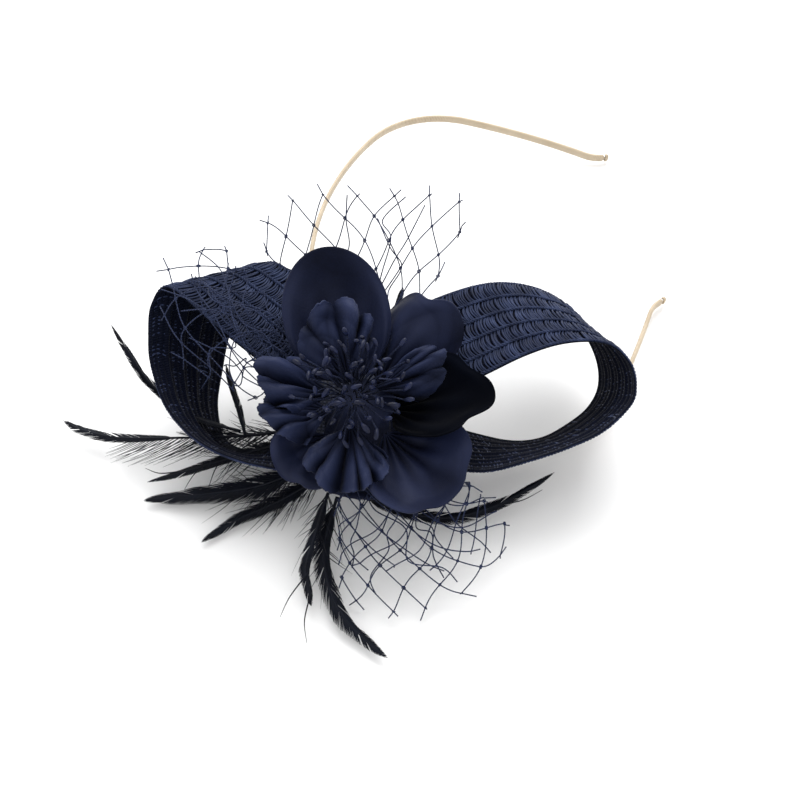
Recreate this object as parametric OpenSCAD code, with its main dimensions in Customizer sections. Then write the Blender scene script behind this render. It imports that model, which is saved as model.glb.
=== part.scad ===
/* [Head band] */
// Width of the wrapped band
band_width = 3.2; // [2.6:0.2:4.6]
// Thickness of the wrapped band
band_thickness = 1.6; // [1.4:0.2:2.6]
// Thickness of the steel strip inside the wrap
core_thickness = 0.6; // [0.4:0.1:0.8]
// Rise of the band from its tips to its crown, in degrees
band_tilt = 7; // [5:1:9]

/* [Straw loops] */
// Width of the flat straw strip that makes each loop
strip_width = 33; // [24:1:38]
// Gap between neighbouring braids of a strip
braid_gap = 0.3; // [0.2:0.1:0.8]
// Thickness of a braid at its edges
braid_edge = 0.9; // [0.7:0.1:1.4]
// Extra thickness along the middle of a braid
braid_crown = 0.7; // [0.3:0.1:1.2]

/* [Flower] */
// Thickness of the petal cloth with its stiffening
petal_thickness = 0.8; // [0.6:0.1:1.2]
// Overall size of the outer petals against their usual size
outer_petal_scale = 1; // [0.85:0.05:1.1]
// Overall size of the ruffled inner petals against their usual size
inner_petal_scale = 1; // [0.85:0.05:1.15]
// Number of stamens in the bunch
stamen_count = 72; // [20:2:80]
// Spread of the stamen heads from the middle of the bunch
stamen_spread = 18; // [14:1:26]
// Radius of a stamen head
stamen_head_radius = 1.5; // [1:0.1:2]

/* [Feathers and net] */
// Thickness of a feather at its shaft
feather_thickness = 1.2; // [0.8:0.1:2]
// Width of the feather blades against their usual width
feather_width_scale = 1; // [0.7:0.05:1.2]
// Thickness of the solid that stands for the net
net_thickness = 1; // [0.8:0.1:1.6]

/* [Base] */
// Radius of the felt disc under the flower
base_radius = 25; // [20:1:28]
// Thickness of the felt disc
felt_thickness = 1.6; // [1.2:0.2:2.4]
// Thickness of the stiff net disc on the felt
buckram_thickness = 0.8; // [0.6:0.1:1.2]

/* [Hidden] */

navy = [0.07, 0.09, 0.2];
navy_dark = [0.04, 0.05, 0.12];
navy_light = [0.12, 0.15, 0.28];
tan = [0.8, 0.66, 0.45];
steel = [0.6, 0.6, 0.62];

// Moves the origin to the middle of the footprint, on the table.
frame_shift = [9, -15.5, 0.3];

braid_count = 5;
circle_steps = 48;
golden_angle = 137.5;

// ---- Head band: arcs in one tilted plane, from the far tip to the near tip.
band_start = [74.7, 119.2, 2.9];
band_turn = 193.4;
band_heading = -35;
band_arcs = [[254, 11.2], [39, 64.8], [120, 58.6], [56, 132.6], [565, 4.2]];
tip_flare = [[12, 26], [30, 6]];
arc_step = 3;
cap_length = 1.6;
cap_wall = 0.3;
wrap_clearance = 0.05;
core_margin = 0.5;

// ---- Straw loops: points on the upper edge and the way across to the lower edge.
left_upper_edge = [
    [-32, -23, 33], [-46, -13, 41], [-62, -1, 46], [-78, 13, 48], [-84, 9, 44],
    [-85, 0, 38], [-84, -9, 33], [-78, -24, 30], [-67, -36, 28], [-53, -43, 27], [-38, -46, 26]
];
left_lower_edge = [
    [-17, 5, 36], [-30, 14, 43], [-40, 23, 46], [-48, 27, 44], [-53, 24, 33],
    [-58, 18, 20], [-62, 9, 10], [-65, -5, 3], [-62, -18, 0], [-52, -24, 2], [-37, -20, 8]
];
right_upper_edge = [
    [10, -22, 33], [27, -17, 39], [41, -11, 42], [53, -7, 43], [64, -6, 43], [72, -8, 42], [77, -14, 40],
    [78, -21, 38], [76, -27, 36], [67, -35, 33], [56, -40, 31], [43, -44, 29], [28, -47, 27], [12, -44, 25]
];
right_lower_edge = [
    [0, 8, 38], [17, 14, 43], [32, 20, 41], [46, 24, 35], [57, 24, 28], [65, 18, 20], [70, 9, 13],
    [70, 0, 8], [65, -7, 4], [57, -12, 1], [48, -17, 0], [37, -18, 1], [22, -15, 5], [9, -13, 9]
];

// ---- Flower
flower_middle = [-15, -29, 45];
flower_lean = [24, 2, 0];
stamen_height = 15;
// How much lower the outermost heads stand, and how uneven the heads are.
stamen_fall = 5;
stamen_unevenness = 2;
// Share of a head's reach at which its thread leaves the middle.
stamen_gather = 0.5;
stamen_thread_radius = 0.45;
cup_height = 16.5;
cup_top_radius = 9;
cup_bottom_radius = 13;

function unit(v) = v / norm(v);
function mix(a, b, t) = a * (1 - t) + b * t;
function last_of(p) = len(p) - 1;

// A smooth curve through the given points.
function curve_point(p0, p1, p2, p3, t) =
    0.5 * ((2 * p1) + (p2 - p0) * t + (2 * p0 - 5 * p1 + 4 * p2 - p3) * t * t
    + (3 * p1 - p0 - 3 * p2 + p3) * t * t * t);
function curve(p, steps) = [
    for (i = [0 : last_of(p) - 1], k = [0 : steps - 1])
        curve_point(p[max(i - 1, 0)], p[i], p[i + 1], p[min(i + 2, last_of(p))], k / steps),
    p[last_of(p)]
];
function tangent(p, i) = unit(p[min(i + 1, last_of(p))] - p[max(i - 1, 0)]);

// A closed solid through equal rings of points, one ring after another. A ring runs along
// one face and back along the other, so its two halves close each end.
module skin(rings) {
    m = len(rings[0]);
    n = len(rings);
    points = [for (ring = rings, q = ring) q];
    sides = [
        for (i = [0 : n - 2], j = [0 : m - 1])
            each [
                [i * m + j, i * m + (j + 1) % m, (i + 1) * m + j],
                [i * m + (j + 1) % m, (i + 1) * m + (j + 1) % m, (i + 1) * m + j]
            ]
    ];
    half_cap = [
        for (k = [0 : m / 2 - 2])
            each [[k, k + 1, m - 1 - k], [k + 1, m - 2 - k, m - 1 - k]]
    ];
    first_cap = [for (t = half_cap) [t[2], t[1], t[0]]];
    end_cap = [for (t = half_cap) [for (q = t) q + (n - 1) * m]];
    polyhedron(points = points, faces = concat(sides, first_cap, end_cap), convexity = 8);
}

// Puts a piece in the frame of the whole part.
module placed() {
    translate(frame_shift)
        children();
}

// ---- Head band
// Points [x, y, direction] along a run of arcs that starts at the origin.
function arc_run(arcs, i = 0, x = 0, y = 0, a = 0) = i == len(arcs) ? [[x, y, a]] :
    let (
        turn = arcs[i][1],
        reach = sign(turn) * arcs[i][0],
        steps = ceil(abs(turn) / arc_step),
        ends = [for (k = [0 : steps]) a + turn * k / steps],
        run = [for (e = ends) [x + reach * (sin(e) - sin(a)), y + reach * (cos(a) - cos(e)), e]]
    )
    concat([for (k = [0 : steps - 1]) run[k]], arc_run(arcs, i + 1, run[steps][0], run[steps][1], a + turn));

far_flare = arc_run(tip_flare);
near_run = arc_run(concat(band_arcs, [for (f = tip_flare) [f[0], -f[1]]]));
band_line = concat(
    [for (k = [len(far_flare) - 1 : -1 : 1]) [-far_flare[k][0], -far_flare[k][1], far_flare[k][2]]],
    near_run
);

// The wrapping is parted after the far sweep, after the crown and after the near bend.
function arc_steps(count) = count == 0 ? 0 : ceil(band_arcs[count - 1][1] / arc_step) + arc_steps(count - 1);
band_parts = concat(
    [0],
    [for (count = [2 : 4]) last_of(far_flare) + arc_steps(count)],
    [last_of(band_line)]
);

module band_frame() {
    translate(band_start)
        rotate([0, 0, band_turn])
            rotate([0, -band_tilt, 0])
                rotate([0, 0, band_heading])
                    children();
}

function beside(q, d) = [q[0] - d * sin(q[2]), q[1] + d * cos(q[2])];

module band_strip(line, wide, thick) {
    linear_extrude(height = wide, center = true)
        polygon(concat(
            [for (q = line) beside(q, thick / 2)],
            [for (k = [last_of(line) : -1 : 0]) beside(line[k], -thick / 2)]
        ));
}

module band_core() {
    color(steel) placed()
        band_frame()
            band_strip(band_line, band_width - 2 * core_margin, core_thickness);
}

module wrap_part(number) {
    line = [for (k = [band_parts[number] : band_parts[number + 1]]) band_line[k]];
    color(tan) placed()
        band_frame()
            difference() {
                band_strip(line, band_width, band_thickness);
                band_strip(line, band_width - 2 * core_margin + wrap_clearance, core_thickness + wrap_clearance);
            }
}

module band_wrap_far() {
    wrap_part(0);
}

module band_wrap_crown() {
    wrap_part(1);
}

module band_wrap_bend() {
    wrap_part(2);
}

module band_wrap_near() {
    wrap_part(3);
}

module band_cap(end, side) {
    translate([end[0], end[1], 0])
        rotate([0, 0, end[2]])
            translate([side * (wrap_clearance + cap_length / 2), 0, 0])
                cube([cap_length, band_thickness + cap_wall, band_width + cap_wall], center = true);
}

module band_cap_far() {
    color(tan) placed()
        band_frame()
            band_cap(band_line[0], -1);
}

module band_cap_near() {
    color(tan) placed()
        band_frame()
            band_cap(band_line[last_of(band_line)], 1);
}

// ---- Straw loops
// Ring of points round one braid at station i: flat edges and a raised middle on both faces.
function braid_ring(upper, lower, i, from, to) =
    let (
        across = unit(lower[i] - upper[i]),
        along = tangent(upper, i) + tangent(lower, i),
        out = unit(cross(along, across)),
        a = upper[i] + across * strip_width * from,
        b = upper[i] + across * strip_width * to,
        edge = out * braid_edge / 2,
        ridge = out * (braid_edge + braid_crown) / 2
    )
    [a + edge, mix(a, b, 0.3) + ridge, mix(a, b, 0.7) + ridge, b + edge,
     b - edge, mix(a, b, 0.7) - ridge, mix(a, b, 0.3) - ridge, a - edge];

module braid(upper_points, lower_points, number) {
    upper = curve(upper_points, 3);
    lower = curve(lower_points, 3);
    gap = braid_gap / strip_width / 2;
    from = (number - 1) / braid_count + gap;
    to = number / braid_count - gap;
    color(navy_light) placed()
        skin([for (i = [0 : last_of(upper)]) braid_ring(upper, lower, i, from, to)]);
}

module left_braid(number) {
    braid(left_upper_edge, left_lower_edge, number);
}

module right_braid(number) {
    braid(right_upper_edge, right_lower_edge, number);
}

module left_braid_1() {
    left_braid(1);
}

module left_braid_2() {
    left_braid(2);
}

module left_braid_3() {
    left_braid(3);
}

module left_braid_4() {
    left_braid(4);
}

module left_braid_5() {
    left_braid(5);
}

module right_braid_1() {
    right_braid(1);
}

module right_braid_2() {
    right_braid(2);
}

module right_braid_3() {
    right_braid(3);
}

module right_braid_4() {
    right_braid(4);
}

module right_braid_5() {
    right_braid(5);
}

// ---- Petals
// A petal spreads like a fan from its root, share u of the way out and v from side to side.
// A smooth petal is an oval through its root. A ruffled one is a rounded fan that waves.
petal_rows = 9;
petal_columns = 14;
petal_start = 0.08;
oval_spread = 74;
fan_spread = 64;
fan_round = 0.2;

function oval_radius(half_long, half_wide, turn) =
    2 * half_long * pow(half_wide, 2) * cos(turn)
    / (pow(half_wide * cos(turn), 2) + pow(half_long * sin(turn), 2));
function fan_radius(v) = 1 - fan_round * v * v;

// Place in the flat petal: distance from the root along its middle, and to the side.
function oval_place(reach, half_wide, u, v) =
    let (turn = oval_spread * v, radius = u * oval_radius(reach / 2, half_wide, turn))
    [radius * cos(turn), radius * sin(turn)];
function fan_place(reach, half_wide, u, v) = [
    reach * u * fan_radius(v) * cos(fan_spread * v),
    half_wide * u * fan_radius(v) * sin(fan_spread * v) / (fan_radius(1) * sin(fan_spread))
];

function petal_point(root, tip, roll, half_wide, cup, curl, ruffle, waves, u, v) =
    let (
        reach = norm(tip - root),
        forward = unit(tip - root),
        level = unit(cross([0, 0, 1], forward)),
        upright = cross(forward, level),
        side = level * cos(roll) + upright * sin(roll),
        face = cross(forward, side),
        flat = ruffle > 0 ? fan_place(reach, half_wide, u, v) : oval_place(reach, half_wide, u, v),
        cupped = cup * pow(flat[1] / half_wide, 2) + curl * (u * u - u),
        waved = ruffle * u * u * cos(180 * waves * v)
    )
    root + forward * flat[0] + side * flat[1] + face * (cupped + waved);

module petal(root, tip, width, roll = 0, cup = 4, curl = -3, ruffle = 0, waves = 3, scale = 1) {
    far = root + (tip - root) * scale;
    rows = petal_rows;
    cols = petal_columns;
    level = unit(cross([0, 0, 1], far - root));
    upright = cross(unit(far - root), level);
    side = level * cos(roll) + upright * sin(roll);
    face = cross(unit(far - root), side);
    grid = [
        for (i = [0 : rows])
            [for (j = [0 : cols])
                petal_point(
                    root, far, roll, width * scale / 2, cup, curl, ruffle, waves,
                    mix(petal_start, 1, i / rows), 2 * j / cols - 1)]
    ];
    rings = [
        for (row = grid)
            concat(
                [for (j = [0 : cols]) row[j] + face * petal_thickness / 2],
                [for (j = [cols : -1 : 0]) row[j] - face * petal_thickness / 2]
            )
    ];
    skin(rings);
}

module outer_petal(root, tip, width, roll, cup, curl) {
    color(navy) placed()
        petal(root, tip, width, roll, cup, curl, scale = outer_petal_scale);
}

module inner_petal(root, tip, width, roll, cup, curl, ruffle, waves) {
    color(navy) placed()
        petal(root, tip, width, roll, cup, curl, ruffle, waves, scale = inner_petal_scale);
}

module petal_top() {
    outer_petal([-18, -19, 37], [-23, 18, 63], 38, 0, 6, 5);
}

module petal_upper_right() {
    outer_petal([-7, -20, 38], [15, 1, 58], 30, 10, -7, 6);
}

module petal_right() {
    outer_petal([-4, -29, 36], [31, -29, 46], 32, 0, 5, 6);
}

module petal_lower_right() {
    outer_petal([-5, -38, 35], [16, -61, 31], 38, 0, 4, 6);
}

module petal_lower_left() {
    outer_petal([-23, -38, 34], [-36, -54, 31], 27, 0, 4, 4);
}

module ruffle_top() {
    inner_petal([-17, -23, 44], [-23, -5, 66], 25, 0, -3, 5, 2, 3);
}

module ruffle_left_upper() {
    inner_petal([-23, -27, 42], [-47, -25, 54], 20, 0, -3, 5, 2, 2);
}

module ruffle_left_lower() {
    inner_petal([-23, -33, 41], [-46, -38, 49], 18, 0, -3, 5, 2, 2);
}

module ruffle_bottom() {
    inner_petal([-16, -38, 41], [-18, -65, 42], 27, 0, -3, 6, 2, 3);
}

module ruffle_right() {
    inner_petal([-7, -26, 43], [15, -19, 58], 24, 20, -5, 5, 2, 2);
}

// ---- Flower middle
module flower_frame() {
    translate(flower_middle)
        rotate(flower_lean)
            children();
}

module flower_cup() {
    color(navy_dark) placed()
        base_frame()
            translate([0, 0, felt_thickness + buckram_thickness + 2 * wrap_clearance])
                cylinder(h = cup_height, r1 = cup_bottom_radius, r2 = cup_top_radius, $fn = circle_steps);
}

function stamen_reach(i) = stamen_spread * sqrt((i + 0.5) / stamen_count);
function stamen_head(i) =
    let (
        r = stamen_reach(i),
        a = i * golden_angle
    )
    [r * cos(a), r * sin(a),
     stamen_height - stamen_fall * pow(r / stamen_spread, 2) + stamen_unevenness * sin(5 * a)];
function stamen_root(i) = [stamen_head(i)[0] * stamen_gather, stamen_head(i)[1] * stamen_gather, 0];

module rod(from, to, radius) {
    way = to - from;
    level = norm([way[0], way[1]]);
    translate(from)
        rotate([0, atan2(level, way[2]), atan2(way[1], way[0])])
            cylinder(h = norm(way), r = radius, $fn = 6);
}

module stamen_threads() {
    color(navy_dark) placed()
        flower_frame()
            for (i = [0 : stamen_count - 1])
                rod(stamen_root(i), mix(stamen_root(i), stamen_head(i), 0.9), stamen_thread_radius);
}

module stamen_heads() {
    color(navy_light) placed()
        flower_frame()
            for (i = [0 : stamen_count - 1])
                translate(stamen_head(i))
                    sphere(r = stamen_head_radius, $fn = 16);
}

// ---- Base under the flower
base_middle = [-13, -27];
binding_radius = 1.2;
stitch_radius = 0.4;
stitch_loop_radius = 3.2;
stitch_rise = 1;
// Samples of the band line that carry a thread loop.
stitch_samples = [62, 67, 72];

// Height of the band's middle plane above the table at a place.
function plane_height(x, y) = band_start[2]
    + ((x - band_start[0]) * cos(band_turn) + (y - band_start[1]) * sin(band_turn)) * tan(band_tilt);

// Lies flat on the upper edge of the band.
module base_frame() {
    translate([base_middle[0], base_middle[1], plane_height(base_middle[0], base_middle[1])])
        rotate([0, 0, band_turn])
            rotate([0, -band_tilt, 0])
                translate([0, 0, band_width / 2 + wrap_clearance])
                    children();
}

module base_felt() {
    color(navy_dark) placed()
        base_frame()
            cylinder(h = felt_thickness, r = base_radius, $fn = circle_steps);
}

module base_buckram() {
    color(navy) placed()
        base_frame()
            translate([0, 0, felt_thickness + wrap_clearance])
                cylinder(h = buckram_thickness, r = base_radius - 1, $fn = circle_steps);
}

module base_binding() {
    color(navy_dark) placed()
        base_frame()
            translate([0, 0, felt_thickness / 2])
                rotate_extrude($fn = circle_steps)
                    translate([base_radius + binding_radius + wrap_clearance, 0])
                        circle(r = binding_radius, $fn = 16);
}

// Thread loops that hold the felt disc to the band.
module band_stitches() {
    color(navy_dark) placed()
        band_frame()
            for (k = stitch_samples)
                translate([band_line[k][0], band_line[k][1], stitch_rise])
                    rotate([0, 0, band_line[k][2]])
                        rotate([0, 90, 0])
                            rotate_extrude($fn = 24)
                                translate([stitch_loop_radius, 0])
                                    circle(r = stitch_radius, $fn = 16);
}

// ---- Feathers
blade_end = 0.08;

// A flat blade round a curved shaft, widest near the middle and pointed at the tip.
function blade(t) = blade_end + (1 - blade_end) * pow(sin(180 * (0.08 + 0.91 * t)), 0.8);

module feather(points, width, lean = 0) {
    shaft = curve(points, 4);
    n = last_of(shaft);
    color(navy_dark) placed()
        skin([
            for (i = [0 : n])
                let (
                    along = tangent(shaft, i),
                    level = unit(cross([0, 0, 1], along)),
                    across = level * cos(lean) + cross(along, level) * sin(lean),
                    up = cross(along, across),
                    half = across * width * feather_width_scale * blade(i / n) / 2,
                    thick = up * feather_thickness * (1 - 0.6 * i / n) / 2
                )
                [shaft[i] + half, shaft[i] + thick, shaft[i] - half, shaft[i] - thick]
        ]);
}

module feather_left_high() {
    feather([[-55, -23, 14], [-72, -18, 16], [-86, -9, 22], [-94, 0, 29], [-100, 8, 34]], 7, 30);
}

module feather_left_long() {
    feather(
        [[-34, -22, 14], [-52, -24, 13], [-76, -23, 10], [-98, -21, 7], [-112, -17, 6], [-119, -13, 6]],
        9, 10);
}

module feather_left_short() {
    feather([[-38, -28, 15], [-58, -32, 11], [-74, -35, 7], [-87, -38, 5]], 7, 5);
}

module feather_front_long() {
    feather([[-31, -38, 15], [-48, -42, 9], [-68, -43, 5], [-80, -43, 3], [-88, -44, 2.5]], 10, 0);
}

module feather_front_low() {
    feather([[-27, -40, 11], [-41, -46, 6], [-54, -51, 3], [-62, -56, 2], [-67, -60, 2]], 9, 0);
}

module feather_loop() {
    feather([[-53, -26, 16], [-55, -20, 22], [-57, -15, 28], [-59, -10, 35]], 4, 40);
}

module feather_down_long() {
    feather(
        [[-21, -50, 15], [-25, -64, 9], [-24, -76, 6], [-19, -88, 4], [-11, -97, 3], [-4, -103, 3]],
        9, 0);
}

module feather_down_short() {
    feather([[-24, -49, 16], [-28, -62, 11], [-31, -73, 7], [-29, -85, 4]], 7, 20);
}

module feather_right_long() {
    feather([[-14, -49, 15], [2, -53, 10], [17, -54, 8], [33, -50, 10], [44, -45, 13], [52, -41, 16]], 6, 0);
}

module feather_back() {
    feather([[-6, -10, 38], [-4, -2, 42], [-1, 6, 45], [1, 14, 47]], 5, 30);
}

// ---- Nets
// A thin shell between a root line and a rim line, bulging between them.
module net_shell(root, rim, bulge) {
    a = curve(root, 3);
    b = curve(rim, 3);
    rows = 5;
    half = net_thickness / 2;
    color(navy) placed()
        skin([
            for (i = [0 : last_of(a)])
                let (
                    out = unit(cross(tangent(a, i) + tangent(b, i), b[i] - a[i]))
                )
                concat(
                    [for (k = [0 : rows])
                        mix(a[i], b[i], k / rows) + out * (bulge * sin(180 * k / rows) + half)],
                    [for (k = [rows : -1 : 0])
                        mix(a[i], b[i], k / rows) + out * (bulge * sin(180 * k / rows) - half)]
                )
        ]);
}

module net_upper() {
    net_shell(
        [[-30, -8, 38], [-24, -8, 40], [-17, -8, 41], [-10, -8, 42], [-3, -9, 42], [3, -10, 42]],
        [[-50, 33, 53], [-38, 41, 59], [-22, 42, 64], [-6, 39, 67], [10, 37, 66], [24, 38, 60]],
        -4);
}

module net_left() {
    net_shell(
        [[-36, -6, 44], [-36, -13, 42], [-35, -19, 39], [-33, -26, 32]],
        [[-62, 27, 56], [-76, 16, 56], [-80, 0, 47], [-68, -14, 34]],
        -3);
}

module net_lower() {
    net_shell(
        [[-20, -47, 22], [-13, -49, 23], [-4, -50, 24], [5, -50, 24], [12, -49, 24], [18, -46, 24]],
        [[-19, -82, 5], [-9, -85, 4], [3, -86, 4], [14, -84, 4], [28, -77, 7], [37, -62, 13]],
        -3);
}

// ---- assembly
band_core();
band_wrap_far();
band_wrap_crown();
band_wrap_bend();
band_wrap_near();
band_cap_far();
band_cap_near();
base_felt();
base_buckram();
base_binding();
band_stitches();
left_braid_1();
left_braid_2();
left_braid_3();
left_braid_4();
left_braid_5();
right_braid_1();
right_braid_2();
right_braid_3();
right_braid_4();
right_braid_5();
petal_top();
petal_upper_right();
petal_right();
petal_lower_right();
petal_lower_left();
ruffle_top();
ruffle_left_upper();
ruffle_left_lower();
ruffle_bottom();
ruffle_right();
flower_cup();
stamen_threads();
stamen_heads();
net_upper();
net_left();
net_lower();
feather_left_high();
feather_left_long();
feather_left_short();
feather_front_long();
feather_front_low();
feather_loop();
feather_down_long();
feather_down_short();
feather_right_long();
feather_back();
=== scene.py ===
"""Looks of the fascinator headpiece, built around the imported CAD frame."""
import math

import bpy
import numpy as np
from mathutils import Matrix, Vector


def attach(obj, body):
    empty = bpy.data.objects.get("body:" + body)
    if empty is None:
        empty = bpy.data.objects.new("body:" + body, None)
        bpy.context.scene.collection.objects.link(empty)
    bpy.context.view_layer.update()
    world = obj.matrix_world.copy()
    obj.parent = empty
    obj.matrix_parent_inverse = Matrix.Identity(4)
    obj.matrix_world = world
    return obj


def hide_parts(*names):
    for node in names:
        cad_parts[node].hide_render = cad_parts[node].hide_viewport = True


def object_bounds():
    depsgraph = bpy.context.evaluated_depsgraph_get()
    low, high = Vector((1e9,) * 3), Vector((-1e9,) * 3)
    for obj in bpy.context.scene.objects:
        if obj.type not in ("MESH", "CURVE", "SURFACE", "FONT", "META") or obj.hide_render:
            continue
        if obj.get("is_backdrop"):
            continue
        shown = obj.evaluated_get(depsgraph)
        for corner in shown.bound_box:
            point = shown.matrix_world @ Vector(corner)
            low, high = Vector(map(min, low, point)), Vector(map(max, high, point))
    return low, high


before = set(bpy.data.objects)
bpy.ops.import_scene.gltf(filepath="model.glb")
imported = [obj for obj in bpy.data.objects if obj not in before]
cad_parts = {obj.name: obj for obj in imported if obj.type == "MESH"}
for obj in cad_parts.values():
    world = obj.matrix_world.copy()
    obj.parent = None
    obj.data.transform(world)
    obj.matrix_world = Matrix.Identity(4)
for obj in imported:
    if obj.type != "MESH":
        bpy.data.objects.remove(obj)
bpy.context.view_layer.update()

MM = 0.001
WELD_DISTANCE = 1e-6
TURN = 2 * math.pi
UP = np.array([0, 0, 1.0])
# Origin of the part's frame against the working origin of the shapes below, in millimetres.
PART_SHIFT = np.array([9.0, -15.5, 0.3])
rng = np.random.default_rng(7)


# -------- geometry helpers
def unit(v):
    v = np.asarray(v, float)
    return v / np.maximum(np.linalg.norm(v, axis=-1, keepdims=True), 1e-12)


def smooth(t):
    t = np.clip(t, 0.0, 1.0)
    return t * t * (3 - 2 * t)


def curve(points, steps):
    """The same smooth curve through points as the CAD uses, with `steps` samples a span."""
    p = np.array(points, float)
    last = len(p) - 1
    out = []
    for i in range(last):
        a, b, c, d = p[max(i - 1, 0)], p[i], p[i + 1], p[min(i + 2, last)]
        for k in range(steps):
            t = k / steps
            out.append(0.5 * (2 * b + (c - a) * t + (2 * a - 5 * b + 4 * c - d) * t * t
                              + (3 * b - a - 3 * c + d) * t ** 3))
    out.append(p[last])
    return np.array(out)


def arc_length(line):
    return np.concatenate([[0], np.cumsum(np.linalg.norm(np.diff(line, axis=0), axis=1))])


def sample(line, along, at):
    """Points of a line at the given distances along it."""
    return np.stack([np.interp(at, along, line[:, k]) for k in range(3)], axis=-1)


def tangents(line):
    return unit(np.gradient(line, axis=0))


def carried_normals(line):
    """A normal at each point of a line, carried along without twist."""
    t = tangents(line)
    first = np.cross(t[0], UP)
    if np.linalg.norm(first) < 0.1:
        first = np.cross(t[0], [1.0, 0, 0])
    normals = [unit(first)]
    for direction in t[1:]:
        n = normals[-1] - direction * np.dot(normals[-1], direction)
        normals.append(unit(n))
    return t, np.array(normals)


def capped(points, line):
    """Rings of points along a line, closed at both ends."""
    return np.concatenate([points[:1] * 0 + line[0], points, points[-1:] * 0 + line[-1]])


def placed(name, data):
    obj = bpy.data.objects.new(name, data)
    bpy.context.scene.collection.objects.link(obj)
    return obj


class Shape:
    """Collects quads of many small surfaces, in millimetres, into one mesh."""

    def __init__(self):
        self.points, self.faces, self.uvs, self.count = [], [], [], 0

    def grid(self, points, uv, wrap=False):
        """A grid of points (rows, columns, 3); wrap joins the last column to the first."""
        rows, cols = points.shape[:2]
        index = np.arange(rows * cols).reshape(rows, cols) + self.count
        right = np.roll(index, -1, axis=1) if wrap else index[:, 1:]
        left = index if wrap else index[:, :-1]
        quads = np.stack([left[:-1], right[:-1], right[1:], left[1:]], axis=-1).reshape(-1, 4)
        self.points.append(points.reshape(-1, 3))
        self.uvs.append(uv.reshape(-1, 2))
        self.faces.append(quads)
        self.count += rows * cols
        return index

    def tube(self, line, radius, sides=6, across=None, flat=1.0, start=0.0):
        """A closed tube along a line. flat thins it along the normal; across sets its wide way."""
        line = np.asarray(line, float)
        n = len(line)
        radius = np.broadcast_to(np.asarray(radius, float), (n,)).copy()
        if across is None:
            t, side = carried_normals(line)
        else:
            t = tangents(line)
            side = unit(across - t * np.sum(across * t, axis=-1, keepdims=True))
        up = np.cross(t, side)
        angle = np.arange(sides) * TURN / sides
        ring = (np.cos(angle)[None, :, None] * side[:, None, :]
                + flat * np.sin(angle)[None, :, None] * up[:, None, :])
        points = capped(line[:, None, :] + ring * radius[:, None, None], line)
        run = arc_length(line) + start
        run = np.concatenate([run[:1], run, run[-1:]])
        u = np.broadcast_to(run[:, None], (n + 2, sides))
        v = np.broadcast_to((angle / TURN)[None, :], (n + 2, sides))
        self.grid(points, np.stack([u, v], axis=-1), wrap=True)

    def sheet(self, middle, normal, thickness, uv):
        """A closed thin sheet round a grid of middle points with given normals."""
        half = thickness / 2
        front = middle + normal * half
        back = (middle - normal * half)[:, ::-1]
        self.grid(np.concatenate([front, back], axis=1),
                  np.concatenate([uv, uv[:, ::-1]], axis=1), wrap=True)
        rows, cols = middle.shape[:2]
        base = self.count - rows * 2 * cols
        for row, flip in ((0, True), (rows - 1, False)):
            a = base + row * 2 * cols + np.arange(cols)
            b = base + row * 2 * cols + 2 * cols - 1 - np.arange(cols)
            cap = np.stack([a[:-1], a[1:], b[1:], b[:-1]], axis=-1)
            self.faces.append(cap[:, ::-1] if flip else cap)

    def build(self, name, material, slot, replaced, tone=None):
        """One welded mesh in place of CAD nodes. tone is a value a point of painted shade and highlight, which the
        cloth paints with painted shade read.
        """
        points = (np.concatenate(self.points) + PART_SHIFT) * MM
        faces = np.concatenate(self.faces)
        uvs = np.concatenate(self.uvs)
        mesh = bpy.data.meshes.new(name)
        mesh.from_pydata(points.tolist(), [], faces.tolist())
        layer = mesh.uv_layers.new(name="run")
        loops = np.zeros(len(mesh.loops), np.int32)
        mesh.loops.foreach_get("vertex_index", loops)
        layer.data.foreach_set("uv", uvs[loops].astype(np.float32).ravel())
        if tone is not None:
            # The tone layer carries painted shade and highlight for the cloth paints.
            depth = mesh.uv_layers.new(name="tone")
            values = np.stack([tone[loops], 0 * tone[loops]], axis=-1)
            depth.data.foreach_set("uv", values.astype(np.float32).ravel())
        mesh.polygons.foreach_set("use_smooth", np.ones(len(mesh.polygons), bool))
        mesh.materials.append(material)
        piece = placed(name, mesh)
        weld = piece.modifiers.new("weld", "WELD")
        weld.merge_threshold = WELD_DISTANCE
        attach(piece, "root")
        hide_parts(*replaced)
        return piece


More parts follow.
